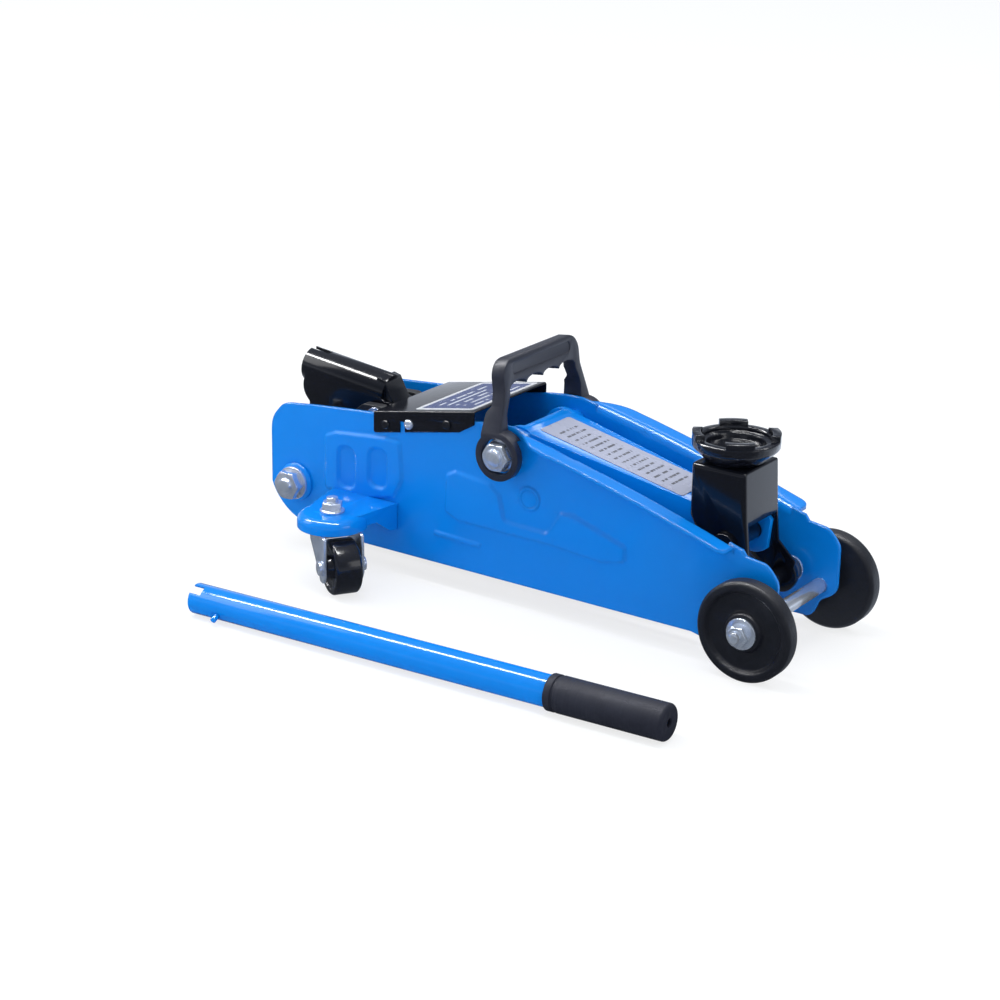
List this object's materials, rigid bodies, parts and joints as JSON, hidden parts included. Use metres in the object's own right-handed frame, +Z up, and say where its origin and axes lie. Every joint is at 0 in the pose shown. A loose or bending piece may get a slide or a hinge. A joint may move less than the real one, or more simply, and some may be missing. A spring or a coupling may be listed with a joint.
{
  "type": "hydraulic floor jack",
  "caption": "Small trolley jack: pressed side plates, lifting arm with turning saddle, pump socket, fixed front wheels, rear swivel casters, carry handle and loose handle bar.",
  "frame": {"origin": "middle of the footprint of jack and loose bar, on the floor", "axes": "+X towards the saddle end, +Y to the jack's left, +Z up"},
  "size_m": [0.438, 0.3046, 0.1728],
  "materials": {
    "blue_paint": "gloss enamel, lightly orange-peeled",
    "black_paint": "gloss black enamel",
    "cast_black": "black-painted casting, fine grain",
    "caster_tyre": "smooth gloss black",
    "zinc": "bright zinc plate",
    "bright_steel": "polished",
    "grey_steel": "plain machined steel",
    "pump_casting": "satin black",
    "charcoal_plastic": "fine matte texture",
    "black_rubber": "matte",
    "silver_label": "satin foil",
    "navy_label": "printed gloss film",
    "black_rivet": "satin black"
  },
  "bodies": {
    "chassis": {"side_plate_right": "blue_paint", "side_plate_left": "blue_paint", "front_axle": "bright_steel", "axle_spacers": "grey_steel", "axle_washers": "zinc", "axle_nuts": "zinc", "arm_shaft": "zinc", "arm_shaft_spacers": "blue_paint", "arm_shaft_washers": "zinc", "arm_shaft_nuts": "zinc", "link_anchor_pins": "blue_paint", "pump_block": "pump_casting", "reservoir_tube": "pump_casting", "ram_cylinder": "grey_steel", "gland_nut": "grey_steel", "filler_plug": "black_rubber", "relief_valve_plug": "zinc", "bolt_seats": "blue_paint", "bolt_washers": "zinc", "pump_bolts": "zinc", "socket_pin": "zinc", "socket_pin_clips": "zinc", "cover_plate": "black_paint", "cover_label": "navy_label", "cover_rivets": "black_rivet", "cover_screws": "zinc", "caster_bracket_right": "blue_paint", "caster_bracket_left": "blue_paint", "swivel_bolts": "zinc", "swivel_nuts": "zinc", "plunger_spring": "bright_steel"},
    "lift_arm": {"lift_arm": "blue_paint", "arm_label": "silver_label", "ram_pin": "bright_steel", "ram_pin_spacers": "grey_steel"},
    "saddle_bracket": {"saddle_bracket": "black_paint", "bracket_pin": "black_paint", "bracket_pin_clips": "zinc", "link_pin": "black_paint", "link_pin_spacers": "grey_steel"},
    "saddle": {"saddle": "black_paint", "saddle_clip": "zinc"},
    "levelling_links": {"levelling_links": "grey_steel"},
    "ram": {"ram_rod": "bright_steel", "ram_yoke": "grey_steel"},
    "pump_plunger": {"pump_plunger": "bright_steel"},
    "handle_socket": {"handle_socket": "black_paint"},
    "release_valve": {"release_valve": "zinc"},
    "carry_handle": {"carry_handle": "charcoal_plastic"},
    "front_wheel_right": {"front_wheel_right": "cast_black"},
    "front_wheel_left": {"front_wheel_left": "cast_black"},
    "caster_fork_right": {"caster_fork_right": "zinc", "caster_axle_right": "zinc"},
    "caster_fork_left": {"caster_fork_left": "zinc", "caster_axle_left": "zinc"},
    "caster_wheel_right": {"caster_wheel_right": "caster_tyre"},
    "caster_wheel_left": {"caster_wheel_left": "caster_tyre"},
    "handle_bar": {"bar_tube": "blue_paint", "bar_stub_pin": "blue_paint", "bar_grip": "charcoal_plastic"}
  },
  "joints": [
    {"name": "arm_lift", "type": "hinge", "parent": "chassis", "child": "lift_arm", "pos_m": [-0.012, 0.04379, 0.109], "axis": [0, -1, 0], "range_deg": [0, 64]},
    {"name": "bracket_level", "type": "hinge", "parent": "lift_arm", "child": "saddle_bracket", "pos_m": [0.147, 0.04379, 0.073], "axis": [0, -1, 0], "range_deg": [-64, 0]},
    {"name": "link_swing", "type": "hinge", "parent": "chassis", "child": "levelling_links", "pos_m": [0.007, 0.04379, 0.08], "axis": [0, -1, 0], "range_deg": [0, 64]},
    {"name": "ram_push", "type": "slide", "parent": "chassis", "child": "ram", "axis": [1, 0, 0], "range_m": [0, 0.05299]},
    {"name": "saddle_turn", "type": "hinge", "parent": "saddle_bracket", "child": "saddle", "pos_m": [0.139, 0.04379, 0.124], "axis": [0, 0, 1], "continuous": true},
    {"name": "socket_pump", "type": "hinge", "parent": "chassis", "child": "handle_socket", "pos_m": [-0.137, 0.04379, 0.104], "axis": [0, 1, 0], "range_deg": [0, 50]},
    {"name": "plunger_stroke", "type": "slide", "parent": "chassis", "child": "pump_plunger", "axis": [0, 0, 1], "range_m": [0, 0.01916], "deforming": ["plunger_spring"]},
    {"name": "release_turn", "type": "hinge", "parent": "chassis", "child": "release_valve", "pos_m": [-0.216, 0.04379, 0.062], "axis": [1, 0, 0], "range_deg": [0, 180]},
    {"name": "carry_fold", "type": "hinge", "parent": "chassis", "child": "carry_handle", "pos_m": [-0.012, 0.04379, 0.109], "axis": [0, 1, 0], "range_deg": [-30, 18]},
    {"name": "front_wheel_right_spin", "type": "hinge", "parent": "chassis", "child": "front_wheel_right", "pos_m": [0.185, -0.01336, 0.034], "axis": [0, 1, 0], "continuous": true},
    {"name": "front_wheel_left_spin", "type": "hinge", "parent": "chassis", "child": "front_wheel_left", "pos_m": [0.185, 0.10094, 0.034], "axis": [0, 1, 0], "continuous": true},
    {"name": "caster_right_swivel", "type": "hinge", "parent": "chassis", "child": "caster_fork_right", "pos_m": [-0.129, -0.04021, 0.042], "axis": [0, 0, 1], "continuous": true},
    {"name": "caster_left_swivel", "type": "hinge", "parent": "chassis", "child": "caster_fork_left", "pos_m": [-0.129, 0.12779, 0.042], "axis": [0, 0, 1], "continuous": true},
    {"name": "caster_right_roll", "type": "hinge", "parent": "caster_fork_right", "child": "caster_wheel_right", "pos_m": [-0.11306, -0.05056, 0.0195], "axis": [0.5446, 0.8387, 0], "continuous": true},
    {"name": "caster_left_roll", "type": "hinge", "parent": "caster_fork_left", "child": "caster_wheel_left", "pos_m": [-0.11306, 0.11744, 0.0195], "axis": [0.5446, 0.8387, 0], "continuous": true},
    {"name": "bar_lift_off", "type": "slide", "parent": "chassis", "child": "handle_bar", "axis": [0, 0, 1], "range_m": [0, 0.25]}
  ],
  "couplings": [
    {"joint": "bracket_level", "follows": "arm_lift", "ratio": -1},
    {"joint": "link_swing", "follows": "arm_lift", "ratio": 1},
    {"joint": "ram_push", "follows": "arm_lift", "m_per_rad": 0.04744},
    {"joint": "plunger_stroke", "follows": "socket_pump", "m_per_rad": 0.02194}
  ]
}
